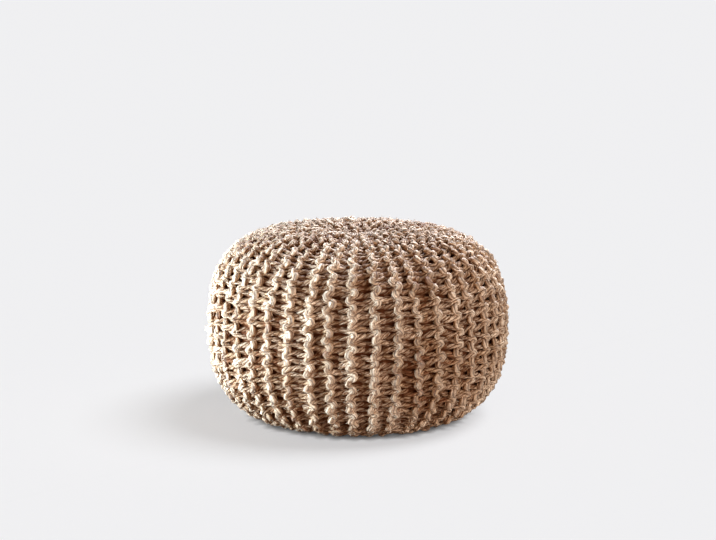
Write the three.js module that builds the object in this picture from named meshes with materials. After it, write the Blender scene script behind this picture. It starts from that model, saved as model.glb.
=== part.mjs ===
// Knitted jute pouf: a stuffed round seat in a garter stitch cover, whose ridges run from pole to pole.
// Millimetres, +Z up. The origin is the middle of the flat patch that the pouf rests on.
import * as THREE from "three";

// Driving sizes of the stuffed form, measured over the crests of the ridges
const HEIGHT = 313;
const WIDEST_RADIUS = 250;
const WIDEST_HEIGHT = 136;
const BASE_RADIUS = 170;

// How square each half of the side is: 2 is an ellipse, and more is fuller
const UPPER_HALF = { acrossPower: 4.3, upPower: 2.85 };
const LOWER_HALF = { acrossPower: 1.92, upPower: 1.97 };

// The cover is gathered at the middle of the top, which draws that spot in
const GATHER_DEPTH = 10;
const GATHER_RADIUS = 90;

// The crown falls a little towards +X: millimetres down for each millimetre across
const CROWN_LEAN = 0.008;

// Garter stitch ridges
const RIDGES = 44;
const FIRST_RIDGE_TURN = THREE.MathUtils.degToRad(-2);
const RIDGE_RISE = 9;
const STITCH_LENGTH = 22;
// The ridges crowd and flatten towards the gather, and are pressed flat at the floor
const RIDGE_FLAT_RADIUS = 40;
const RIDGE_FULL_RADIUS = 150;
const RIDGE_FULL_HEIGHT = 40;
const COLUMNS_PER_RIDGE = 4;

// Broad swells of the stuffing: where each is centred, how far it spreads and how far it lifts the cover
const SWELLS = [
  { azimuth: 20, height: 205, spread: 95, lift: 1.5 },
  { azimuth: 118, height: 115, spread: 90, lift: 2.0 },
  { azimuth: 195, height: 130, spread: 110, lift: 3.0 },
  { azimuth: 262, height: 180, spread: 80, lift: 2.0 },
  { azimuth: 330, height: 105, spread: 95, lift: 1.5 },
];

const JUTE_COLOUR = 0xb3926f;

// The side of the pouf from the edge of the base patch, round the widest ring, to the gather on the axis
class CoverProfile extends THREE.Curve {
  getPoint(share, target = new THREE.Vector2()) {
    const turn = (share * 2 - 1) * (Math.PI / 2);
    const half = turn < 0 ? LOWER_HALF : UPPER_HALF;
    const inner = turn < 0 ? BASE_RADIUS : 0;
    const across = Math.max(Math.cos(turn), 0) ** (2 / half.acrossPower);
    const up = Math.abs(Math.sin(turn)) ** (2 / half.upPower);
    const radius = inner + (WIDEST_RADIUS - inner) * across;
    const reach = turn < 0 ? -WIDEST_HEIGHT : HEIGHT - WIDEST_HEIGHT;
    const height = WIDEST_HEIGHT + reach * up;
    return target.set(radius, height - (turn < 0 ? 0 : gatherAt(radius)));
  }
}

// How far the gather draws the cover down at this distance from the axis
function gatherAt(radius) {
  return GATHER_DEPTH * (1 - THREE.MathUtils.smoothstep(radius, 0, GATHER_RADIUS));
}

// How far the cover dips between two ridges, measured in from their crests
function troughDepth(angle, radius, height) {
  const between = Math.cos(RIDGES * (angle - FIRST_RIDGE_TURN)) < 0;
  const crowding = THREE.MathUtils.smoothstep(radius, RIDGE_FLAT_RADIUS, RIDGE_FULL_RADIUS);
  const pressing = THREE.MathUtils.smoothstep(height, 0, RIDGE_FULL_HEIGHT);
  return between ? RIDGE_RISE * crowding * pressing : 0;
}

// How far the stuffing swells the cover at this place
function swellAt(angle, radius, height) {
  const pressing = THREE.MathUtils.smoothstep(height, 0, RIDGE_FULL_HEIGHT);
  let lift = 0;
  for (const swell of SWELLS) {
    const away = angle - THREE.MathUtils.degToRad(swell.azimuth);
    const along = 2 * Math.sin(away / 2) * WIDEST_RADIUS;
    const above = height - swell.height;
    lift += swell.lift * Math.exp(-(along ** 2 + above ** 2) / (2 * swell.spread ** 2));
  }
  return lift * pressing * (radius / WIDEST_RADIUS);
}

// How far the leaning crown comes down at this place
function leanAt(across, height) {
  return CROWN_LEAN * across * THREE.MathUtils.smoothstep(height, WIDEST_HEIGHT, HEIGHT);
}

// Turned form with a ring at every stitch, whose points then move along their normals and lean with the crown
function makeCover() {
  const profile = new CoverProfile();
  profile.arcLengthDivisions = 2000;
  const rings = Math.round(profile.getLength() / STITCH_LENGTH);
  const outline = [new THREE.Vector2(0, 0), ...profile.getSpacedPoints(rings)];
  outline[outline.length - 1].x = 0;

  const columns = RIDGES * COLUMNS_PER_RIDGE;
  const firstColumn = FIRST_RIDGE_TURN + Math.PI / columns;
  const geometry = new THREE.LatheGeometry(outline, columns, firstColumn);
  geometry.rotateX(Math.PI / 2);

  const place = geometry.getAttribute("position");
  const normal = geometry.getAttribute("normal");
  const point = new THREE.Vector3();
  const outward = new THREE.Vector3();
  for (let i = 0; i < place.count; i++) {
    point.fromBufferAttribute(place, i);
    outward.fromBufferAttribute(normal, i);
    const radius = Math.hypot(point.x, point.y);
    const angle = Math.atan2(point.y, point.x);
    const move = swellAt(angle, radius, point.z) - troughDepth(angle, radius, point.z);
    point.addScaledVector(outward, move);
    point.z -= leanAt(point.x, point.z);
    place.setXYZ(i, point.x, point.y, point.z);
  }
  return geometry;
}

const jute = new THREE.MeshStandardMaterial({ color: JUTE_COLOUR, roughness: 0.9, metalness: 0 });
const cover = new THREE.Mesh(makeCover(), jute);
cover.name = "knitted_pouf";

const pouf = new THREE.Group();
pouf.add(cover);

export default pouf;
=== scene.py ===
"""Knitted jute pouf: a stuffed round seat in a garter stitch cover that is laid out yarn by yarn."""

import math

import bmesh
import bpy
import numpy as np
from bpy.props import FloatProperty, FloatVectorProperty, IntProperty, PointerProperty
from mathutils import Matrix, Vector


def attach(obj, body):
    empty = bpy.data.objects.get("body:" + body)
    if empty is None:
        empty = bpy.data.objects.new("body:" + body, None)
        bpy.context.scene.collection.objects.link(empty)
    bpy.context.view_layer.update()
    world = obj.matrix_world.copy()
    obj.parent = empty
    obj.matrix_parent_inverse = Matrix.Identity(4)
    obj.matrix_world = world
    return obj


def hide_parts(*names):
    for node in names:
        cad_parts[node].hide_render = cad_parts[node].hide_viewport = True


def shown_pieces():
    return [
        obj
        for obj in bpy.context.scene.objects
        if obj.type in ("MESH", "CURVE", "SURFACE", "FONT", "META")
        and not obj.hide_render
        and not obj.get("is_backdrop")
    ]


bl_info = {
    "name": "Knitted jute pouf",
    "version": (1, 0, 0),
    "blender": (4, 5, 0),
    "location": "View3D > Sidebar > Pouf",
    "description": "Builds a stuffed pouf in a garter stitch jute cover, with its stage",
    "category": "Object",
}

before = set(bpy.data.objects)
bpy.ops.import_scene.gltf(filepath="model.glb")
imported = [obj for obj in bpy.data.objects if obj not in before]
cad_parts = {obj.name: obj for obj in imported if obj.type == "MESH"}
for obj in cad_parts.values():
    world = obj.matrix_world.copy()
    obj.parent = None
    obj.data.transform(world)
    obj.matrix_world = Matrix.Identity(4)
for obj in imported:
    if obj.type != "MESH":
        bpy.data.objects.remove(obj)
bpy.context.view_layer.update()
CAD_NODE = "knitted_pouf"

# Broad swells of the stuffing, as in the solid: degrees round, then metres
SWELLS = (
    {"azimuth": 20, "height": 0.205, "spread": 0.095, "lift": 0.0015},
    {"azimuth": 118, "height": 0.115, "spread": 0.090, "lift": 0.0020},
    {"azimuth": 195, "height": 0.130, "spread": 0.110, "lift": 0.0030},
    {"azimuth": 262, "height": 0.180, "spread": 0.080, "lift": 0.0020},
    {"azimuth": 330, "height": 0.105, "spread": 0.095, "lift": 0.0015},
)
# The swells are at their full from this height up, clear of where the floor presses the cover
SWELL_FULL_HEIGHT = 0.040

# A gore is four ridges side by side; the shorter ones stop before the gather, as short rows do
GORE = ("long", "short", "middle", "short")
# How far from the axis each kind of ridge has run out, and from where on it is whole
RIDGE_ENDS = {
    "long": {"gone": 0.004, "whole": 0.030},
    "middle": {"gone": 0.045, "whole": 0.072},
    "short": {"gone": 0.095, "whole": 0.135},
}

# Points that measure the outline: on its underside, round its side, and evenly spaced in the end
UNDERSIDE_POINTS = 60
SIDE_POINTS = 4001
EVEN_POINTS = 1600

# Sides of a tube of yarn, and its steps along one stitch
SIDES = 8
STEPS_PER_STITCH = 18

# Where all random draws start from
SEED = 4417


class PoufForm(bpy.types.PropertyGroup):
    """Sizes of the stuffed form, measured over the crests of the ridges."""

    height: FloatProperty(
        name="Height", description="Floor to the top of the crown",
        default=0.313, unit="LENGTH",
    )
    widest_radius: FloatProperty(
        name="Widest radius", description="Radius at the fullest ring",
        default=0.250, unit="LENGTH",
    )
    widest_height: FloatProperty(
        name="Widest height", description="Height of the fullest ring",
        default=0.136, unit="LENGTH",
    )
    base_radius: FloatProperty(
        name="Base radius", description="Radius of the flat patch on the floor",
        default=0.170, unit="LENGTH",
    )
    upper_power: FloatVectorProperty(
        name="Upper fullness", description="Across and up powers above the fullest ring",
        size=2, default=(4.3, 2.85),
    )
    lower_power: FloatVectorProperty(
        name="Lower fullness", description="Across and up powers below the fullest ring",
        size=2, default=(1.92, 1.97),
    )
    gather_depth: FloatProperty(
        name="Gather depth", description="How far the gather draws the crown down",
        default=0.010, unit="LENGTH",
    )
    gather_radius: FloatProperty(
        name="Gather radius", description="How far from the axis the gather reaches",
        default=0.090, unit="LENGTH",
    )
    crown_lean: FloatProperty(
        name="Crown lean", description="How steeply the crown falls to the right",
        default=0.008,
    )


class KnitSizes(bpy.types.PropertyGroup):
    """Sizes of the yarn and of the garter stitch."""

    ridges: IntProperty(
        name="Ridges", description="Garter ridges round the pouf, in gores of four",
        default=44, min=8,
    )
    first_ridge: FloatProperty(
        name="First ridge", description="Turn of the first ridge",
        default=math.radians(-2), subtype="ANGLE",
    )
    stitch_length: FloatProperty(
        name="Stitch length", description="Length of one stitch along a ridge",
        default=0.0234, unit="LENGTH",
    )
    yarn_diameter: FloatProperty(
        name="Yarn diameter", description="Thickness of the jute yarn",
        default=0.0094, unit="LENGTH",
    )
    loop_depth: FloatProperty(
        name="Loop depth", description="How far a loop swings out and in",
        default=0.0047, unit="LENGTH",
    )
    overlap: FloatProperty(
        name="Overlap", description="How far the loops of two rows pass each other",
        default=0.0038, unit="LENGTH",
    )
    loop_swell: FloatProperty(
        name="Loop swell", description="How much wider a loop is at its ends",
        default=0.0012, unit="LENGTH",
    )
    ply_turn: FloatProperty(
        name="Ply turn", description="Length in which the plies turn once",
        default=0.056, unit="LENGTH",
    )
    sideways_drift: FloatProperty(
        name="Sideways drift", description="How far a ridge strays to the side",
        default=0.0030, unit="LENGTH",
    )
    lengthwise_drift: FloatProperty(
        name="Lengthwise drift", description="How far its stitches stray along it",
        default=0.0060, unit="LENGTH",
    )
    fibres: IntProperty(
        name="Stray fibres", description="Loose fibres on each gore",
        default=600, min=0,
    )


class JuteColours(bpy.types.PropertyGroup):
    """Colours of the yarn, as linear values."""

    pale: FloatVectorProperty(
        name="Pale", description="Bleached fibre",
        subtype="COLOR", default=(0.76, 0.565, 0.395),
    )
    tan: FloatVectorProperty(
        name="Tan", description="Usual fibre",
        subtype="COLOR", default=(0.49, 0.320, 0.205),
    )
    golden: FloatVectorProperty(
        name="Golden", description="Golden fibre",
        subtype="COLOR", default=(0.50, 0.32, 0.185),
    )
    russet: FloatVectorProperty(
        name="Russet", description="Dark bark-stained fibre",
        subtype="COLOR", default=(0.28, 0.125, 0.062),
    )
    # Painted shade: a near-black that stands in for the shade in the gaps between the loops; deep yarn is
    # mixed toward it and the stuffed body is coloured with it
    hollow: FloatVectorProperty(
        name="Hollow", description="Ground seen between the loops",
        subtype="COLOR", default=(0.098, 0.022, 0.003),
    )


class StageLook(bpy.types.PropertyGroup):
    """Floor, lights and camera."""

    floor: FloatVectorProperty(
        name="Floor", description="Pale floor",
        subtype="COLOR", default=(0.325, 0.328, 0.336),
    )
    backdrop: FloatVectorProperty(
        name="Backdrop", description="Pale surround behind the floor",
        subtype="COLOR", default=(0.879, 0.879, 0.896),
    )
    floor_glow: FloatProperty(
        name="Floor glow", description="How much the pale floor shines by itself",
        default=0.562,
    )
    contact: FloatProperty(
        name="Contact", description="Width of the dark line where the pouf meets the floor",
        default=0.012, unit="LENGTH",
    )
    surround: FloatVectorProperty(
        name="Surround", description="Even light from all round",
        subtype="COLOR", default=(0.155, 0.13, 0.10), max=2.0,
    )
    overhead: FloatProperty(
        name="Overhead", description="Strength of the broad light on the floor, from above on the right",
        default=3.0,
    )
    overhead_spread: FloatProperty(
        name="Overhead spread", description="How broad the light from above is",
        default=math.radians(34), subtype="ANGLE",
    )
    key_power: FloatProperty(
        name="Key light", description="Power of the light on the pouf's left side",
        default=31.0, unit="POWER",
    )
    crown_power: FloatProperty(
        name="Crown light", description="Power of the light on the crown, from above and behind",
        default=175.0, unit="POWER",
    )
    side_power: FloatProperty(
        name="Side light", description="Power of the light on the pouf's right side",
        default=78.0, unit="POWER",
    )
    fill_power: FloatProperty(
        name="Front fill", description="Power of the low warm light on the pouf's front",
        default=13.0, unit="POWER",
    )
    elevation: FloatProperty(
        name="Camera elevation", description="Camera above the horizon",
        default=math.radians(12), subtype="ANGLE",
    )
    distance: FloatProperty(
        name="Camera distance", description="Camera to the middle of the pouf",
        default=2.6, unit="LENGTH",
    )


def smoothstep(value, low, high):
    """0 below low, 1 above high, and a soft rise between them."""
    share = np.clip((value - low) / (high - low), 0.0, 1.0)
    return share * share * (3.0 - 2.0 * share)


def smooth_noise(rng, places, spacing):
    """Gentle seeded wander between -1 and 1 along a line."""
    steps = (places - places.min()) / spacing
    knots = rng.uniform(-1.0, 1.0, int(steps.max()) + 2)
    whole = np.floor(steps).astype(int)
    share = smoothstep(steps - whole, 0.0, 1.0)
    return knots[whole] * (1.0 - share) + knots[whole + 1] * share


def uneven(rng, places, kind):
    """Seeded unevenness of one kind along a line."""
    return kind["amount"] * smooth_noise(rng, places, kind["apart"])


# The outline over the ridge crests


class CrestOutline:
    """Half outline from the middle of the underside, round the side, to the gather, by length along it."""

    def __init__(self, form):
        under = np.linspace(0.0, form.base_radius, UNDERSIDE_POINTS)[:-1]
        turn = np.linspace(-math.pi / 2, math.pi / 2, SIDE_POINTS)
        below = turn < 0
        across_power = np.where(below, form.lower_power[0], form.upper_power[0])
        up_power = np.where(below, form.lower_power[1], form.upper_power[1])
        inner = np.where(below, form.base_radius, 0.0)
        reach = np.where(below, -form.widest_height, form.height - form.widest_height)
        across = np.clip(np.cos(turn), 0.0, 1.0) ** (2.0 / across_power)
        radius = inner + (form.widest_radius - inner) * across
        height = form.widest_height + reach * np.abs(np.sin(turn)) ** (2.0 / up_power)
        gather = form.gather_depth * (1.0 - smoothstep(radius, 0.0, form.gather_radius))
        height = height - np.where(below, 0.0, gather)
        radius = np.concatenate([under, radius])
        height = np.concatenate([np.zeros_like(under), height])
        along = np.concatenate([[0.0], np.cumsum(np.hypot(np.diff(radius), np.diff(height)))])
        self.length = along[-1]
        self.along = np.linspace(0.0, self.length, EVEN_POINTS)
        self.radius = np.interp(self.along, along, radius)
        self.height = np.interp(self.along, along, height)
        d_radius = np.gradient(self.radius, self.along)
        d_height = np.gradient(self.height, self.along)
        size = np.hypot(d_radius, d_height)
        self.out = d_height / size
        self.up = -d_radius / size
        self.widest = self.along[np.argmax(self.radius)]

    def at(self, along):
        """Radius, height and outward normal there."""
        values = (self.radius, self.height, self.out, self.up)
        return tuple(np.interp(along, self.along, value) for value in values)

    def where_radius(self, radius, upper):
        """Length at which the underside or the crown has this radius."""
        if upper:
            part = self.along > self.widest
            return float(np.interp(-radius, -self.radius[part], self.along[part]))
        part = self.along <= self.widest
        return float(np.interp(radius, self.radius[part], self.along[part]))

    def place(self, along, angle, depth):
        """Points at this length and turn, this far in from the crests."""
        radius, height, out, up = self.at(along)
        inward = depth - swell_at(angle, radius, height)
        radius = radius - out * inward
        height = height - up * inward
        return lean_crown(np.stack([radius * np.cos(angle), radius * np.sin(angle), height], axis=-1))

    def normal(self, along, angle):
        """Outward direction at this length and turn."""
        _, _, out, up = self.at(along)
        return np.stack([out * np.cos(angle), out * np.sin(angle), up], axis=-1)


def swell_at(angle, radius, height):
    """How far the stuffing swells the cover there."""
    form = bpy.context.scene.pouf_form
    lift = np.zeros_like(radius)
    for swell in SWELLS:
        away = angle - math.radians(swell["azimuth"])
        along = 2.0 * np.sin(away / 2.0) * form.widest_radius
        above = height - swell["height"]
        lift = lift + swell["lift"] * np.exp(-(along**2 + above**2) / (2.0 * swell["spread"] ** 2))
    return lift * smoothstep(height, 0.0, SWELL_FULL_HEIGHT) * radius / form.widest_radius


def lean_crown(points):
    """Points with the upper half tilted, so that the crown is lower on the right."""
    form = bpy.context.scene.pouf_form
    share = smoothstep(points[..., 2], form.widest_height, form.height)
    leaning = points.copy()
    leaning[..., 2] -= form.crown_lean * points[..., 0] * share
    return leaning


# The stitches

# How far apart the bends of a drifting ridge are, in metres along it
DRIFT_APART = {"sideways": 0.10, "lengthwise": 0.16}

# Unevenness from stitch to stitch: how much, and how far apart its highs and lows are, in stitches
LOOP_LOOSENESS = {"amount": 0.14, "apart": 0.7}
STRAY_ALONG = {"amount": 0.0025, "apart": 0.6}
STRAY_ACROSS = {"amount": 0.0025, "apart": 0.8}
DEPTH_CHANGE = {"amount": 0.15, "apart": 0.7}
SINK_CHANGE = {"amount": 0.0012, "apart": 0.6}
# Unevenness of the yarn itself, likewise, in metres along it
SLUBS = {"amount": 0.20, "apart": 0.022}
LUMPS = {"amount": 0.14, "apart": 0.007}
TONE_PATCHES = {"amount": 0.40, "apart": 0.030}
TONE_LENGTHS = {"amount": 0.16, "apart": 0.4}
MIDDLE_TONE = 0.5

# A loop: its legs reach past the middle of the hollow, and its turn there is narrower and dives
LEG_REACH = 1.40
TURN_NARROWING = 0.45
TURN_DIVE = 0.010
TURN_DIVE_SHARES = (0.74, 0.94)
# How sharply the yarn drops from a head, and how far ahead of the turn it is at full depth
HEAD_SHARPNESS = 3.2
DEPTH_LEAD = 1.2
# Share of the loops' overlap that is left where a ridge has run out
RUN_OUT_OVERLAP = 0.4
# A ridge that runs out sinks under its neighbours
RUN_OUT_SINK = 0.009
RUN_OUT_POWER = 1.5
# Close to the axis, sideways moves are turned into angles as if the radius were at least this
OVERLAP_LEAST_RADIUS = 0.02
STRAY_LEAST_RADIUS = 0.03
# Courses keep this far from both ends of the outline
COURSE_MARGIN = 0.002

# Loops lie flatter against the floor and on the level crown, where the yarn is drawn slimmer too
FLOOR_FLATNESS = 0.35
FLOOR_FLAT_HEIGHTS = (0.002, 0.024)
CROWN_FLATNESS = 0.12
CROWN_FLAT_SLOPES = (0.70, 0.98)
CROWN_SLIMNESS = 0.20
CROWN_SLIM_SLOPES = (0.75, 0.98)
# The rounded edge of the base is pressed in, but not its flat patch
EDGE_PRESS = 0.0035
EDGE_PRESS_HEIGHTS = (0.004, 0.050)
FLAT_PATCH_SLOPES = (0.985, 1.0)

# Girth of the yarn, as shares of the usual one: in the depth, what a head adds, and at the very ends
DEEP_GIRTH = 0.99
HEAD_GIRTH = 0.20
END_GIRTH = 0.35
# Steps that a taper from nothing would take, and how oval the twisted yarn is
TAPER_STEPS = 6.0
PLY_FLATNESS = 0.10
# A course ends in a tip of this length, which stays at least this far above the floor
TIP_LENGTH = 0.002
TIP_LEAST_HEIGHT = 0.001
# Each course starts somewhere in this many metres of yarn, so that no two have the same marks
STRAND_STARTS = 40.0

# Ranges that the measures of each stray fibre are drawn from: metres, or shares of its reach
FIBRE = {
    "reach": (0.004, 0.010),
    "along": (0.6, 1.0),
    "away": (0.05, 0.35),
    "across": (-0.6, 0.6),
    "bend_away": (-0.5, 0.1),
    "bend_across": (-0.5, 0.5),
    "thickness": (0.00016, 0.00050),
    "tone": (0.35, 1.0),
}
# Where a fibre's four points lie along it, and how much of the bend it takes
FIBRE_SHARES = (-0.15, 0.3, 0.68, 1.0)
FIBRE_BEND = 0.6
# Fibres only leave yarn that is no deeper than this share of the knit, and stay this far above the floor
FIBRE_DEEPEST = 0.62
FIBRE_LEAST_HEIGHT = 0.0002


def ridge_wander(outline, knit):
    """Seeded drift of each ridge from its even place: sideways and along it, from end to end."""
    rng = np.random.default_rng(SEED)
    wander = {}
    for way, reach in (("sideways", knit.sideways_drift), ("lengthwise", knit.lengthwise_drift)):
        apart = DRIFT_APART[way]
        drifts = [reach * smooth_noise(rng, outline.along, apart) for _ in range(knit.ridges)]
        wander[way] = np.array(drifts)
    return wander


def drift_at(outline, drift, ridge, side, along, share):
    """Drift of a loop that lies between the crest of its ridge (share 0) and the next hollow (share 1)."""
    own = np.interp(along, outline.along, drift[ridge])
    beside = np.interp(along, outline.along, drift[(ridge + side) % len(drift)])
    return own * (1.0 - share / 2.0) + beside * share / 2.0


def ridge_presence(kind, radius):
    """1 where a ridge of this kind is whole, falling to 0 where it has run out."""
    ends = RIDGE_ENDS[kind]
    return smoothstep(radius, ends["gone"], ends["whole"])


def ridge_half_turn(kind, radius, pitch):
    """Angle from a ridge's crest to the hollow beside it, widening as its neighbours run out."""
    short = ridge_presence("short", radius)
    middle = ridge_presence("middle", radius)
    if kind == "long":
        return pitch * (2.0 - short / 2.0 - middle)
    if kind == "middle":
        return pitch * np.maximum(middle - short / 2.0, 0.0)
    return pitch * short / 2.0


def course_depth(knit, stitch, share, whole, height, up, rng):
    """How far in from the crests the yarn of one row of loops lies, and how slim it is there."""
    drop = 1.0 - (1.0 - np.minimum(DEPTH_LEAD * share, 1.0)) ** HEAD_SHARPNESS
    dive = TURN_DIVE * smoothstep(share, *TURN_DIVE_SHARES)
    pressed = FLOOR_FLATNESS + (1.0 - FLOOR_FLATNESS) * smoothstep(height, *FLOOR_FLAT_HEIGHTS)
    pressed = pressed - CROWN_FLATNESS * smoothstep(up, *CROWN_FLAT_SLOPES)
    reach = 2.0 * pressed * knit.loop_depth * (1.0 + uneven(rng, stitch, DEPTH_CHANGE))
    sink = RUN_OUT_SINK * (1.0 - whole) ** RUN_OUT_POWER + uneven(rng, stitch, SINK_CHANGE)
    rounded = 1.0 - smoothstep(-up, *FLAT_PATCH_SLOPES)
    sink = sink + EDGE_PRESS * rounded * (1.0 - smoothstep(height, *EDGE_PRESS_HEIGHTS))
    slim = 1.0 - CROWN_SLIMNESS * smoothstep(up, *CROWN_SLIM_SLOPES)
    depth = slim * knit.yarn_diameter / 2.0 + reach * drop + sink + dive
    return depth, slim


def course_path(outline, knit, wander, ridge, side, rng):
    """Centre line of one row of loops: side 1 lies right of the ridge and -1 left of it.

    The heads lie on the ridge, the legs cross the hollow beside it, and the turns dive under there.
    """
    kind = GORE[ridge % len(GORE)]
    gone = RIDGE_ENDS[kind]["gone"]
    first = outline.where_radius(gone, False) / knit.stitch_length
    last = outline.where_radius(gone, True) / knit.stitch_length
    count = round((last - first) * STEPS_PER_STITCH) + 1
    stitch = np.linspace(first, last, count)
    phase = 2.0 * math.pi * stitch
    share = (1.0 - side * np.cos(phase)) / 2.0
    loose = 1.0 + uneven(rng, stitch, LOOP_LOOSENESS)
    narrow = 1.0 - TURN_NARROWING * share
    along = knit.stitch_length * stitch + knit.loop_swell * narrow * np.sin(2.0 * phase) * loose
    along = along + uneven(rng, stitch, STRAY_ALONG)
    along = along + drift_at(outline, wander["lengthwise"], ridge, side, along, share)
    along = np.clip(along, COURSE_MARGIN, outline.length - COURSE_MARGIN)

    radius, height, _, up = outline.at(along)
    pitch = 2.0 * math.pi / knit.ridges
    half = ridge_half_turn(kind, radius, pitch)
    whole = ridge_presence(kind, radius)
    crest_turn = knit.first_ridge + ridge * pitch
    crossing = -side * (1.0 - share) * knit.overlap / np.maximum(radius, OVERLAP_LEAST_RADIUS)
    crossing = crossing * (RUN_OUT_OVERLAP + (1.0 - RUN_OUT_OVERLAP) * whole)
    turn = crest_turn + side * share * half * LEG_REACH + crossing
    stray = drift_at(outline, wander["sideways"], ridge, side, along, share) * whole
    stray = stray + uneven(rng, stitch, STRAY_ACROSS)
    turn = turn + stray / np.maximum(radius, STRAY_LEAST_RADIUS)

    depth, slim = course_depth(knit, stitch, share, whole, height, up, rng)
    return {
        "points": outline.place(along, turn, depth),
        "normals": outline.normal(along, turn),
        "depth": depth,
        "slim": slim,
    }


def sweep_course(path, knit, rng):
    """Tube of one row of loops: rings of points with a tip at each end, and what the colour needs."""
    points = path["points"]
    tangent = np.gradient(points, axis=0)
    tangent /= np.linalg.norm(tangent, axis=1, keepdims=True)
    binormal = np.cross(tangent, path["normals"])
    binormal /= np.linalg.norm(binormal, axis=1, keepdims=True)
    normal = np.cross(binormal, tangent)
    length = np.concatenate([[0.0], np.cumsum(np.linalg.norm(np.diff(points, axis=0), axis=1))])

    lumps = uneven(rng, length, SLUBS) + uneven(rng, length, LUMPS)
    thick = knit.yarn_diameter / 2.0 * (1.0 + lumps) * path["slim"]
    knit_depth = 2.0 * knit.loop_depth + knit.yarn_diameter
    raised = 1.0 - np.clip(path["depth"] / knit_depth, 0.0, 1.0)
    thick = thick * (DEEP_GIRTH + HEAD_GIRTH * raised**2)
    step = np.arange(len(points))
    taper = np.minimum(step, step[::-1]) / TAPER_STEPS
    thick = thick * np.clip(END_GIRTH + taper, 0.0, 1.0)

    around = 2.0 * math.pi * np.arange(SIDES) / SIDES
    twist = 2.0 * math.pi * length[:, None] / knit.ply_turn
    flat = 1.0 + PLY_FLATNESS * np.cos(2.0 * (around[None, :] - twist))
    # Depth of each point below the crests, deeper on the tube's flanks; the colour paints shade and
    # highlight from it
    deep = (path["depth"][:, None] - thick[:, None] * np.cos(around)) / knit_depth
    spread = (thick[:, None] * flat)[..., None]
    outward = normal[:, None, :] * np.cos(around)[None, :, None]
    sideways = binormal[:, None, :] * np.sin(around)[None, :, None]
    rings = points[:, None, :] + spread * (outward + sideways)
    rings[..., 2] = np.maximum(rings[..., 2], 0.0)
    tips = np.stack([points[0] - tangent[0] * TIP_LENGTH, points[-1] + tangent[-1] * TIP_LENGTH])
    tips[:, 2] = np.maximum(tips[:, 2], TIP_LEAST_HEIGHT)
    tone = MIDDLE_TONE + uneven(rng, length, TONE_PATCHES) + uneven(rng, length, TONE_LENGTHS)
    return {
        "rings": rings,
        "tips": tips,
        "length": length,
        "deep": np.clip(deep, 0.0, 1.0),
        "tone": np.clip(tone, 0.0, 1.0),
        "tangent": tangent,
        "strand": rng.uniform(0.0, STRAND_STARTS),
    }


def stray_fibres(courses, knit, rng):
    """Lines of four points that leave the outer loops at a slant and bend away."""
    lines = []
    yarn_uv = []
    shares = np.array(FIBRE_SHARES)[:, None]
    for number in rng.integers(0, len(courses), knit.fibres):
        course = courses[number]
        outer = np.flatnonzero(course["deep"].mean(axis=1) < FIBRE_DEEPEST)
        ring = rng.choice(outer)
        side = rng.integers(0, SIDES)
        middle = course["rings"][ring].mean(axis=0)
        root = course["rings"][ring, side]
        away = (root - middle) / np.linalg.norm(root - middle)
        along = course["tangent"][ring] * rng.choice((-1.0, 1.0))
        across = np.cross(away, along)
        reach = rng.uniform(*FIBRE["reach"])
        slant = along * rng.uniform(*FIBRE["along"])
        slant = slant + away * rng.uniform(*FIBRE["away"])
        slant = slant + across * rng.uniform(*FIBRE["across"])
        bend = away * rng.uniform(*FIBRE["bend_away"]) + across * rng.uniform(*FIBRE["bend_across"])
        lines.append(root + reach * (shares * slant + shares**2 * bend * FIBRE_BEND))
        yarn_uv.append((course["length"][ring] + course["strand"], side / SIDES))
    thick = rng.uniform(*FIBRE["thickness"], knit.fibres)
    tone = rng.uniform(*FIBRE["tone"], knit.fibres)
    return np.array(lines), thick, np.array(yarn_uv), tone


# The mesh of the yarn

# A fibre is a spindle: a root, two rings and a tip
FIBRE_SIDES = 3
FIBRE_POINTS = 2 + 2 * FIBRE_SIDES
# In the layout for baking, so many fibres share one step; each face takes this share of its fibre's strip
FIBRES_PER_STEP = 4
FIBRE_CELL = 0.3
# Where the two rings lie along the strip
FIBRE_RINGS = (0.33, 0.67)
# A row of that layout holds six times as many steps as there are rows, since steps are short
ROW_STRETCH = 6.0
# Empty margins of that layout: at both ends of the rows, and at both edges of each row
END_MARGIN = 0.004
ROW_MARGIN = 0.06


def face_corners(pairs):
    """One array of coordinate pairs, given for each corner of the faces in turn."""
    return np.stack([np.stack(pair, axis=-1) for pair in pairs], axis=-2)


def face_starts(sizes):
    """Place of each face's first corner in the list of all corners."""
    return np.concatenate([[0], np.cumsum(sizes)[:-1]])


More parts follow.
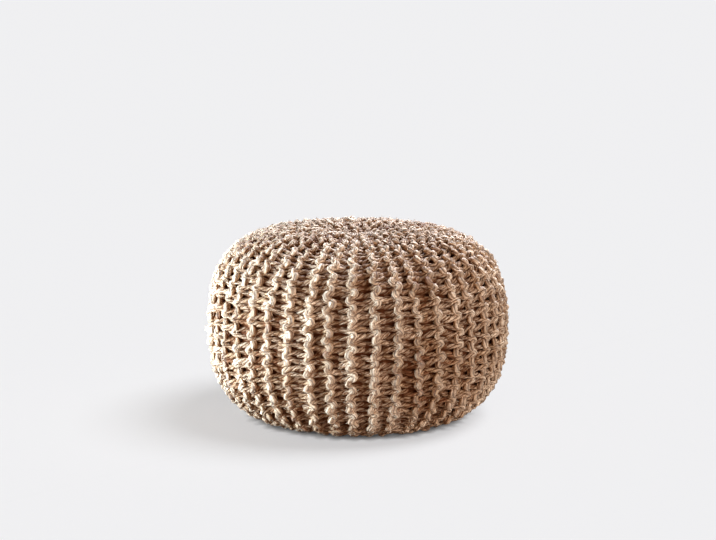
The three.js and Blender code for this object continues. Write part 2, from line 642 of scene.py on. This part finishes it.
class YarnMesh:
    """Collects tubes and fibres as arrays and turns them into one joined mesh."""

    def __init__(self):
        self.points = []
        self.tone = []
        self.deep = []
        self.corners = []
        self.sizes = []
        self.yarn_uv = []
        self.steps = 0
        self.bake_cells = []
        self.count = 0

    def add_points(self, points, tone, deep):
        """Points with their colour values; gives the number of the first."""
        start = self.count
        self.points.append(points)
        self.tone.append(tone)
        self.deep.append(deep)
        self.count += len(points)
        return start

    def add_faces(self, corners, yarn_uv, cells):
        """Faces with equally many corners; cells hold each corner's step and its share of the girth."""
        self.corners.append(corners.reshape(-1))
        self.sizes.append(np.full(len(corners), corners.shape[1]))
        self.yarn_uv.append(yarn_uv.reshape(-1, 2))
        self.bake_cells.append(cells.reshape(-1, 2))

    def add_course(self, course):
        """Tube of one row of loops, closed by a tip at each end."""
        rings = course["rings"]
        count = len(rings)
        start = self.add_points(
            rings.reshape(-1, 3), np.repeat(course["tone"], SIDES), course["deep"].reshape(-1)
        )
        ends = self.add_points(course["tips"], course["tone"][[0, -1]], course["deep"][[0, -1], 0])
        ring = np.arange(count - 1)[:, None]
        side = np.arange(SIDES)[None, :]
        after = (side + 1) % SIDES
        near = start + ring * SIDES
        far = near + SIDES
        quads = np.stack([near + side, near + after, far + after, far + side], axis=-1)
        length = course["length"] + course["strand"]
        here = np.broadcast_to(length[:-1, None], (count - 1, SIDES))
        there = np.broadcast_to(length[1:, None], (count - 1, SIDES))
        low = np.broadcast_to(side / SIDES, (count - 1, SIDES))
        high = low + 1.0 / SIDES
        yarn_uv = face_corners(((here, low), (here, high), (there, high), (there, low)))
        step = np.broadcast_to(self.steps + 1 + ring, (count - 1, SIDES)).astype(float)
        cells = face_corners(((step, low), (step, high), (step + 1, high), (step + 1, low)))
        self.add_faces(quads.reshape(-1, 4), yarn_uv, cells)

        low = np.arange(SIDES) / SIDES
        high = low + 1.0 / SIDES
        middle = low + 0.5 / SIDES
        for first_end in (True, False):
            ring_start = start if first_end else start + (count - 1) * SIDES
            tip = np.full(SIDES, ends if first_end else ends + 1)
            one = ring_start + np.arange(SIDES)
            two = ring_start + (np.arange(SIDES) + 1) % SIDES
            here = np.full(SIDES, length[0] if first_end else length[-1])
            base = np.full(SIDES, float(self.steps + 1 if first_end else self.steps + count))
            peak = base - 1 if first_end else base + 1
            order = (two, one, tip) if first_end else (one, two, tip)
            shares = (high, low, middle) if first_end else (low, high, middle)
            yarn_uv = face_corners((here, share) for share in shares)
            cells = face_corners(zip((base, base, peak), shares))
            self.add_faces(np.stack(order, axis=-1), yarn_uv, cells)
        self.steps += count + 2

    def add_fibres(self, lines, thick, yarn_uv, tone):
        """Stray fibres: three-sided spindles, each along a line of four points."""
        count = len(lines)
        tangent = lines[:, 2] - lines[:, 1]
        tangent /= np.linalg.norm(tangent, axis=1, keepdims=True)
        across = np.cross(tangent, np.roll(tangent, 1, axis=1))
        across /= np.linalg.norm(across, axis=1, keepdims=True)
        upright = np.cross(tangent, across)
        around = 2.0 * math.pi * np.arange(FIBRE_SIDES) / FIBRE_SIDES
        girth = across[:, None] * np.cos(around)[:, None] + upright[:, None] * np.sin(around)[:, None]
        rings = lines[:, 1:3, None, :] + (thick[:, None, None] * girth)[:, None]
        rings = rings.reshape(count, 2 * FIBRE_SIDES, 3)
        points = np.concatenate([lines[:, :1], rings, lines[:, 3:]], axis=1)
        points[..., 2] = np.maximum(points[..., 2], FIBRE_LEAST_HEIGHT)
        tones = np.repeat(tone, FIBRE_POINTS)
        start = self.add_points(points.reshape(-1, 3), tones, np.zeros(count * FIBRE_POINTS))

        root = start + FIBRE_POINTS * np.arange(count)[:, None]
        side = np.arange(FIBRE_SIDES)[None, :]
        after = (side + 1) % FIBRE_SIDES
        lower = root + 1
        upper = lower + FIBRE_SIDES
        tip = upper + FIBRE_SIDES
        column = (self.steps + np.arange(count) // FIBRES_PER_STEP)[:, None] + 0.0 * side
        low = ((np.arange(count) % FIBRES_PER_STEP)[:, None] + FIBRE_CELL * side) / FIBRES_PER_STEP
        high = low + FIBRE_CELL / FIBRES_PER_STEP
        middle = (low + high) / 2
        one, two = FIBRE_RINGS
        for corners, places, shares in (
            ((lower + after, lower + side, root + 0 * side), (one, one, 0.0), (high, low, middle)),
            (
                (lower + side, lower + after, upper + after, upper + side),
                (one, one, two, two),
                (low, high, high, low),
            ),
            ((upper + side, upper + after, tip + 0 * side), (two, two, 1.0), (low, high, middle)),
        ):
            faces = np.stack(corners, axis=-1)
            cells = face_corners((column + place, share) for place, share in zip(places, shares))
            colour_uv = np.broadcast_to(yarn_uv[:, None, None, :], (count, FIBRE_SIDES, len(corners), 2))
            self.add_faces(faces.reshape(-1, len(corners)), colour_uv, cells)
        self.steps += math.ceil(count / FIBRES_PER_STEP) + 1

    def bake_uv(self):
        """Lays the unrolled yarn out in rows, clear of each other."""
        cells = np.concatenate(self.bake_cells)
        sizes = np.concatenate(self.sizes)
        first_step = np.minimum.reduceat(cells[:, 0], face_starts(sizes))
        row_steps = math.ceil(math.sqrt(self.steps * ROW_STRETCH))
        rows = math.ceil(self.steps / row_steps) + 1
        row = np.repeat(np.floor(first_step / row_steps), sizes)
        across = (cells[:, 0] - row * row_steps) / (row_steps + 1)
        across = END_MARGIN + (1.0 - 2.0 * END_MARGIN) * across
        up = (row + ROW_MARGIN + (1.0 - 2.0 * ROW_MARGIN) * cells[:, 1]) / rows
        return np.stack([across, up], axis=-1)

    def make(self, name):
        """Blender mesh of all that was collected, with both layouts and the colour values."""
        mesh = bpy.data.meshes.new(name)
        points = np.concatenate(self.points)
        corners = np.concatenate(self.corners)
        sizes = np.concatenate(self.sizes)
        mesh.vertices.add(len(points))
        mesh.vertices.foreach_set("co", points.astype(np.float32).reshape(-1))
        mesh.loops.add(len(corners))
        mesh.loops.foreach_set("vertex_index", corners.astype(np.int32))
        mesh.polygons.add(len(sizes))
        mesh.polygons.foreach_set("loop_start", face_starts(sizes).astype(np.int32))
        mesh.update(calc_edges=True)
        if mesh.validate():
            raise RuntimeError(f"{name}: the yarn mesh has faulty faces")
        mesh.shade_smooth()
        bake = mesh.uv_layers.new(name="OFBake")
        bake.uv.foreach_set("vector", self.bake_uv().astype(np.float32).reshape(-1))
        yarn = mesh.uv_layers.new(name="Yarn")
        yarn.uv.foreach_set("vector", np.concatenate(self.yarn_uv).astype(np.float32).reshape(-1))
        for label, values in (("tone", self.tone), ("deep", self.deep)):
            attribute = mesh.attributes.new(label, "FLOAT", "POINT")
            attribute.data.foreach_set("value", np.concatenate(values).astype(np.float32))
        return mesh


# Materials

# Plies that are twisted into the yarn
PLIES = 4
# Noises: fibre and streaks lie along the twist, and run this many units for a metre of yarn
NOISE_PER_METRE = 90.0
FIBRE_NOISE = {"Scale": 2.4, "Detail": 4.0, "Roughness": 0.70}
STREAK_NOISE = {"Scale": 1.3, "Detail": 2.0}
PATCH_NOISE = {"Scale": 14.0, "Detail": 2.0}
GROUND_NOISE = {"Scale": 260.0, "Detail": 4.0}
# What the choice of colour is made of: streaks, the yarn's own tone, and broad patches
STREAK_WEIGHT = 0.85
TONE_WEIGHT = 0.55
PATCH_RANGE = (0.36, 0.64)
PATCH_CHANGE = (-0.20, 0.18)
# Tints that the colour is multiplied by, from the low to the high end of a value
FIBRE_TINT = {"range": (0.38, 0.62), "low": (0.28, 0.14, 0.06), "high": (1.34, 1.28, 1.20)}
# Painted shade in the grooves between the plies, and a painted highlight on the plies' crowns
PAINTED_PLY_SHADING = {"range": (0.0, 0.55), "low": (0.24, 0.11, 0.045), "high": (1.14, 1.12, 1.09)}
# By depth: the painted highlight that paints the raised yarn pale, and the painted shade that paints the
# deep yarn and the flanks of each tube dark
PAINTED_HIGHLIGHT = {"depths": (0.04, 0.30), "shares": (0.24, 0.0)}
SHADE = {"depths": (0.35, 0.74), "shares": (0.0, 0.97)}
# Relief: how much the fibre counts beside the plies, and how strong it all is
FIBRE_RELIEF = 0.7
YARN_BUMP = {"Strength": 0.8, "Distance": 0.0022}
GROUND_BUMP = {"Strength": 0.6, "Distance": 0.001}
# The ground between the loops is darkened in spots to this share of its colour
GROUND_SHADE = 0.6


def add_node(tree, kind, inputs=None, **settings):
    """New node with its settings, and its inputs set or linked by name or number."""
    node = tree.nodes.new(kind)
    for key, value in settings.items():
        setattr(node, key, value)
    for key, value in (inputs or {}).items():
        if isinstance(value, bpy.types.NodeSocket):
            tree.links.new(value, node.inputs[key])
        else:
            node.inputs[key].default_value = value
    return node


def add_math(tree, operation, first, second=0.0):
    """Result of one sum on sockets or numbers."""
    return add_node(tree, "ShaderNodeMath", {0: first, 1: second}, operation=operation).outputs[0]


def add_mix(tree, factor, first, second, blend="MIX"):
    """Two colours mixed by a factor."""
    node = add_node(tree, "ShaderNodeMix", data_type="RGBA", blend_type=blend)
    for socket, value in ((node.inputs[0], factor), (node.inputs[6], first), (node.inputs[7], second)):
        if isinstance(value, bpy.types.NodeSocket):
            tree.links.new(value, socket)
        else:
            socket.default_value = value
    return node.outputs[2]


def opaque(colour):
    """Colour with full alpha, as sockets want it."""
    return (*colour, 1.0)


def add_noise(tree, vector, settings):
    """Noise texture at these coordinates."""
    return add_node(tree, "ShaderNodeTexNoise", {"Vector": vector, **settings}).outputs[0]


def add_range(tree, value, source, target=(0.0, 1.0)):
    """Value carried over from the source range to the target range."""
    inputs = {0: value, 1: source[0], 2: source[1], 3: target[0], 4: target[1]}
    return add_node(tree, "ShaderNodeMapRange", inputs).outputs[0]


def add_tint(tree, colour, value, tint):
    """Colour multiplied by a tint that follows the value."""
    share = add_range(tree, value, tint["range"])
    factor = add_mix(tree, share, opaque(tint["low"]), opaque(tint["high"]))
    return add_mix(tree, 1.0, colour, factor, "MULTIPLY")


def empty_material(name):
    """New material without any nodes yet."""
    material = bpy.data.materials.new(name)
    material.use_nodes = True
    material.node_tree.nodes.clear()
    return material


def add_surface(tree, inputs):
    """Shader with these inputs, as the surface of a material."""
    shader = add_node(tree, "ShaderNodeBsdfPrincipled", inputs)
    add_node(tree, "ShaderNodeOutputMaterial", {"Surface": shader.outputs[0]})


def jute_yarn_material():
    """Plied jute: tan to russet fibre along the twist, with painted shade in the grooves and deep in the
    knit and a painted highlight on the raised yarn.
    """
    colours = bpy.context.scene.pouf_colours
    knit = bpy.context.scene.pouf_knit
    material = empty_material("jute_yarn")
    tree = material.node_tree
    uv = add_node(tree, "ShaderNodeUVMap", uv_map="Yarn").outputs[0]
    parts = add_node(tree, "ShaderNodeSeparateXYZ", {0: uv})
    length, around = parts.outputs[0], parts.outputs[1]
    turns = add_math(tree, "ADD", around, add_math(tree, "MULTIPLY", length, 1.0 / knit.ply_turn))
    ply = add_math(tree, "SINE", add_math(tree, "MULTIPLY", turns, PLIES * math.pi))
    ply = add_math(tree, "ABSOLUTE", ply)

    angle = add_math(tree, "MULTIPLY", turns, 2.0 * math.pi)
    ring = add_node(
        tree,
        "ShaderNodeCombineXYZ",
        {
            0: add_math(tree, "COSINE", angle),
            1: add_math(tree, "SINE", angle),
            2: add_math(tree, "MULTIPLY", length, NOISE_PER_METRE),
        },
    ).outputs[0]
    fibre = add_noise(tree, ring, FIBRE_NOISE)
    streak = add_noise(tree, ring, STREAK_NOISE)

    tone = add_node(tree, "ShaderNodeAttribute", attribute_name="tone").outputs["Fac"]
    deep = add_node(tree, "ShaderNodeAttribute", attribute_name="deep").outputs["Fac"]
    place = add_node(tree, "ShaderNodeTexCoord").outputs["Object"]
    patch = add_range(tree, add_noise(tree, place, PATCH_NOISE), PATCH_RANGE, PATCH_CHANGE)
    streak = add_math(tree, "MULTIPLY", streak, STREAK_WEIGHT)
    tone = add_math(tree, "MULTIPLY", tone, TONE_WEIGHT)
    mixed = add_math(tree, "ADD", add_math(tree, "ADD", streak, tone), patch)
    ramp = add_node(tree, "ShaderNodeValToRGB", {0: mixed})
    stops = ((0.34, colours.russet), (0.52, colours.golden), (0.68, colours.tan), (0.92, colours.pale))
    while len(ramp.color_ramp.elements) < len(stops):
        ramp.color_ramp.elements.new(0.5)
    for element, (position, colour) in zip(ramp.color_ramp.elements, stops):
        element.position = position
        element.color = opaque(colour)
    colour = add_tint(tree, ramp.outputs[0], fibre, FIBRE_TINT)
    # Painted shade in the ply grooves and a painted highlight on the ply crowns
    colour = add_tint(tree, colour, ply, PAINTED_PLY_SHADING)
    # Painted highlight: the raised yarn that faces out is mixed toward pale
    painted_highlight = add_range(tree, deep, PAINTED_HIGHLIGHT["depths"], PAINTED_HIGHLIGHT["shares"])
    colour = add_mix(tree, painted_highlight, colour, opaque(colours.pale))
    # Painted shade: deep yarn and the flanks of each tube are mixed toward the near-black hollow colour
    shade = add_range(tree, deep, SHADE["depths"], SHADE["shares"])
    colour = add_mix(tree, shade, colour, opaque(colours.hollow))

    relief = add_math(tree, "ADD", ply, add_math(tree, "MULTIPLY", fibre, FIBRE_RELIEF))
    bump = add_node(tree, "ShaderNodeBump", {"Height": relief, **YARN_BUMP}).outputs[0]
    add_surface(tree, {"Base Color": colour, "Roughness": 0.60, "Specular IOR Level": 0.04, "Normal": bump})
    return material


def ground_material():
    """Inner face of the knit between the loops: matted fibre in a near-black that is painted shade."""
    colours = bpy.context.scene.pouf_colours
    material = empty_material("knit_ground")
    tree = material.node_tree
    place = add_node(tree, "ShaderNodeTexCoord").outputs["Object"]
    matted = add_noise(tree, place, GROUND_NOISE)
    # Painted shade: the ground takes the near-black hollow colour, darker still in random spots
    darker = tuple(GROUND_SHADE * value for value in colours.hollow)
    colour = add_mix(tree, matted, opaque(darker), opaque(colours.hollow))
    bump = add_node(tree, "ShaderNodeBump", {"Height": matted, **GROUND_BUMP}).outputs[0]
    add_surface(tree, {"Base Color": colour, "Roughness": 0.9, "Specular IOR Level": 0.15, "Normal": bump})
    return material


def floor_material():
    """Pale floor that meets the backdrop without an edge and darkens where the pouf touches it."""
    look = bpy.context.scene.pouf_stage
    material = bpy.data.materials.new("pale_floor")
    material.use_nodes = True
    tree = material.node_tree
    shader = tree.nodes["Principled BSDF"]
    shader.inputs["Base Color"].default_value = opaque(look.floor)
    shader.inputs["Roughness"].default_value = 0.95
    shader.inputs["Specular IOR Level"].default_value = 0.0
    shader.inputs["Emission Color"].default_value = opaque(look.backdrop)
    seen = add_node(tree, "ShaderNodeLightPath").outputs["Is Camera Ray"]
    glow = add_math(tree, "MULTIPLY", seen, look.floor_glow / max(look.backdrop))
    clear = add_node(tree, "ShaderNodeAmbientOcclusion", {"Distance": look.contact}, samples=8)
    glow = add_math(tree, "MULTIPLY", glow, clear.outputs["AO"])
    tree.links.new(glow, shader.inputs["Emission Strength"])
    return material


# Pieces

# Rings and columns of the stuffed body, and how close its points are to be joined
BODY_RINGS = 60
BODY_COLUMNS = 96
JOIN_DISTANCE = 1e-5
# It lies in from the crests by the loops' depth and this share of the yarn, and by more near the axis
BODY_INSET = 0.46
BODY_DIMPLE = 0.016
BODY_DIMPLE_RADIUS = 0.050


def add_piece(name, mesh, material):
    """Piece of the pouf, hung under the root body, with the solid that it stands for hidden."""
    piece = bpy.data.objects.new(name, mesh)
    bpy.context.scene.collection.objects.link(piece)
    mesh.materials.append(material)
    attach(piece, "root")
    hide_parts(CAD_NODE)
    return piece


class POUF_OT_body(bpy.types.Operator):
    """Turn the stuffed body that fills the cover and shows between its loops in a near-black painted shade
    """

    bl_idname = "pouf.body"
    bl_label = "Stuffed body"

    def execute(self, context):
        knit = context.scene.pouf_knit
        outline = CrestOutline(context.scene.pouf_form)
        inset = 2.0 * knit.loop_depth + BODY_INSET * knit.yarn_diameter
        along = np.linspace(0.0, outline.length, BODY_RINGS)
        radius, height, out, up = outline.at(along)
        inset = inset + BODY_DIMPLE * (1.0 - smoothstep(radius, 0.0, BODY_DIMPLE_RADIUS))
        radius = np.maximum(radius - out * inset, 0.0)
        height = height - up * inset
        radius[0] = radius[-1] = 0.0
        shape = bmesh.new()
        line = [shape.verts.new((x, 0.0, z)) for x, z in zip(radius, height)]
        edges = [shape.edges.new(pair) for pair in zip(line[:-1], line[1:])]
        bmesh.ops.spin(
            shape,
            geom=line + edges,
            cent=(0, 0, 0),
            axis=(0, 0, 1),
            angle=2 * math.pi,
            steps=BODY_COLUMNS,
            use_merge=True,
        )
        bmesh.ops.remove_doubles(shape, verts=shape.verts, dist=JOIN_DISTANCE)
        bmesh.ops.recalc_face_normals(shape, faces=shape.faces)
        for vert in shape.verts:
            angle = math.atan2(vert.co.y, vert.co.x)
            reach = np.array([math.hypot(vert.co.x, vert.co.y)])
            vert.co += vert.normal * float(swell_at(angle, reach, np.array([vert.co.z]))[0])
            vert.co = lean_crown(np.array(vert.co))
        mesh = bpy.data.meshes.new("stuffed_body")
        shape.to_mesh(mesh)
        shape.free()
        mesh.shade_smooth()
        piece = add_piece("stuffed_body", mesh, ground_material())
        return {"FINISHED"}


class POUF_OT_knit(bpy.types.Operator):
    """Knit the cover: each gore is four garter ridges, and each ridge two rows of loops"""

    bl_idname = "pouf.knit"
    bl_label = "Knitted cover"

    def execute(self, context):
        knit = context.scene.pouf_knit
        outline = CrestOutline(context.scene.pouf_form)
        material = jute_yarn_material()
        wander = ridge_wander(outline, knit)
        for gore in range(knit.ridges // len(GORE)):
            rng = np.random.default_rng(SEED + gore)
            yarn = YarnMesh()
            courses = []
            for place in range(len(GORE)):
                for side in (1, -1):
                    path = course_path(outline, knit, wander, gore * len(GORE) + place, side, rng)
                    courses.append(sweep_course(path, knit, rng))
                    yarn.add_course(courses[-1])
            yarn.add_fibres(*stray_fibres(courses, knit, rng))
            name = f"knit_gore_{gore + 1:02d}"
            add_piece(name, yarn.make(name), material)
        return {"FINISHED"}


# Stage

# How far below the picture's middle the pouf's middle lies, for a lens this long, both in pixels
MIDDLE_DROP = 48.1
LENS_LENGTH = 1551.0


class POUF_OT_stage(bpy.types.Operator):
    """Set the floor, the soft studio light and the camera"""

    bl_idname = "pouf.stage"
    bl_label = "Stage"

    def execute(self, context):
        scene = context.scene
        look = scene.pouf_stage
        floor = self.add_floor(scene)
        self.add_lights(scene, look, floor)
        self.add_camera(scene, look)
        return {"FINISHED"}

    def add_floor(self, scene):
        """Flat floor that runs out to the horizon."""
        shape = bmesh.new()
        bmesh.ops.create_grid(shape, x_segments=1, y_segments=1, size=150.0)
        mesh = bpy.data.meshes.new("floor")
        shape.to_mesh(mesh)
        shape.free()
        mesh.materials.append(floor_material())
        floor = bpy.data.objects.new("floor", mesh)
        scene.collection.objects.link(floor)
        floor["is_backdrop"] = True
        return floor

    def add_light(self, scene, lamp, toward):
        """Light that stands in this direction from the pouf's middle and faces it."""
        light = bpy.data.objects.new(lamp.name, lamp)
        light.location = Vector((0.0, 0.0, scene.pouf_form.height / 2)) + Vector(toward)
        light.rotation_euler = Vector(toward).to_track_quat("Z", "Y").to_euler()
        light.visible_camera = False
        scene.collection.objects.link(light)
        return light

    def add_lights(self, scene, look, floor):
        """Even surround, one broad light for the floor alone and four lamps for the pouf alone."""
        world = bpy.data.worlds.new("studio")
        world.use_nodes = True
        tree = world.node_tree
        tree.nodes.clear()
        seen = add_node(tree, "ShaderNodeLightPath").outputs["Is Camera Ray"]
        even = add_node(tree, "ShaderNodeBackground", {"Color": opaque(look.surround)})
        behind = add_node(tree, "ShaderNodeBackground", {"Color": opaque(look.backdrop)})
        mixed = add_node(tree, "ShaderNodeMixShader", {0: seen, 1: even.outputs[0], 2: behind.outputs[0]})
        add_node(tree, "ShaderNodeOutputWorld", {"Surface": mixed.outputs[0]})
        scene.world = world

        overhead = bpy.data.lights.new("overhead", "SUN")
        overhead.energy = look.overhead
        overhead.angle = look.overhead_spread
        overhead.color = (0.985, 1.0, 1.02)
        lit_floor = bpy.data.collections.new("lit_floor")
        lit_floor.objects.link(floor)
        self.add_light(scene, overhead, (0.84, 0.14, 1.55)).light_linking.receiver_collection = lit_floor

        lit_pouf = bpy.data.collections.new("lit_pouf")
        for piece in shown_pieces():
            lit_pouf.objects.link(piece)
        for name, width, height, power, colour, toward in (
            ("key", 0.9, 0.55, look.key_power, (0.68, 1.03, 1.42), (-0.82, -0.29, 0.05)),
            ("crown", 1.4, 1.4, look.crown_power, (0.78, 1.03, 1.46), (0.40, 1.25, 2.00)),
            ("side", 2.4, 1.6, look.side_power, (0.89, 0.97, 1.11), (2.15, -1.90, 0.35)),
            ("fill", 0.6, 0.6, look.fill_power, (1.0, 0.56, 0.28), (-0.80, -2.85, -0.04)),
        ):
            lamp = bpy.data.lights.new(name, "AREA")
            lamp.shape = "ELLIPSE"
            lamp.size = width
            lamp.size_y = height
            lamp.energy = power
            lamp.color = colour
            self.add_light(scene, lamp, toward).light_linking.receiver_collection = lit_pouf
        scene.view_settings.view_transform = "Standard"
        scene.view_settings.look = "None"

    def add_camera(self, scene, look):
        """The pouf's middle stands a little below the middle of the picture, as photographed."""
        lens = bpy.data.cameras.new("camera")
        lens.sensor_width = 36.0
        lens.lens = 78.0
        lens.clip_end = 100.0
        camera = bpy.data.objects.new("camera", lens)
        centre = scene.pouf_form.height / 2
        tilt = look.elevation
        camera.location = (0.0, -look.distance * math.cos(tilt), centre + look.distance * math.sin(tilt))
        below_middle = math.atan(MIDDLE_DROP / LENS_LENGTH)
        camera.rotation_euler = (math.pi / 2 - tilt + below_middle, 0.0, 0.0)
        scene.collection.objects.link(camera)
        scene.camera = camera


class POUF_PT_panel(bpy.types.Panel):
    """Sidebar panel with every setting and a button for each operator"""

    bl_idname = "POUF_PT_panel"
    bl_label = "Knitted pouf"
    bl_space_type = "VIEW_3D"
    bl_region_type = "UI"
    bl_category = "Pouf"

    def draw(self, context):
        for group in ("pouf_form", "pouf_knit", "pouf_colours", "pouf_stage"):
            settings = getattr(context.scene, group)
            box = self.layout.box()
            for name in settings.__annotations__:
                box.prop(settings, name)
        for operator in (POUF_OT_body, POUF_OT_knit, POUF_OT_stage):
            self.layout.operator(operator.bl_idname)


CLASSES = (
    PoufForm,
    KnitSizes,
    JuteColours,
    StageLook,
    POUF_OT_body,
    POUF_OT_knit,
    POUF_OT_stage,
    POUF_PT_panel,
)


def register():
    for each in CLASSES:
        bpy.utils.register_class(each)
    bpy.types.Scene.pouf_form = PointerProperty(type=PoufForm)
    bpy.types.Scene.pouf_knit = PointerProperty(type=KnitSizes)
    bpy.types.Scene.pouf_colours = PointerProperty(type=JuteColours)
    bpy.types.Scene.pouf_stage = PointerProperty(type=StageLook)


def unregister():
    del bpy.types.Scene.pouf_stage
    del bpy.types.Scene.pouf_colours
    del bpy.types.Scene.pouf_knit
    del bpy.types.Scene.pouf_form
    for each in reversed(CLASSES):
        bpy.utils.unregister_class(each)


def main():
    register()
    bpy.ops.pouf.body()
    bpy.ops.pouf.knit()
    bpy.ops.pouf.stage()


if __name__ == "__main__":
    main()
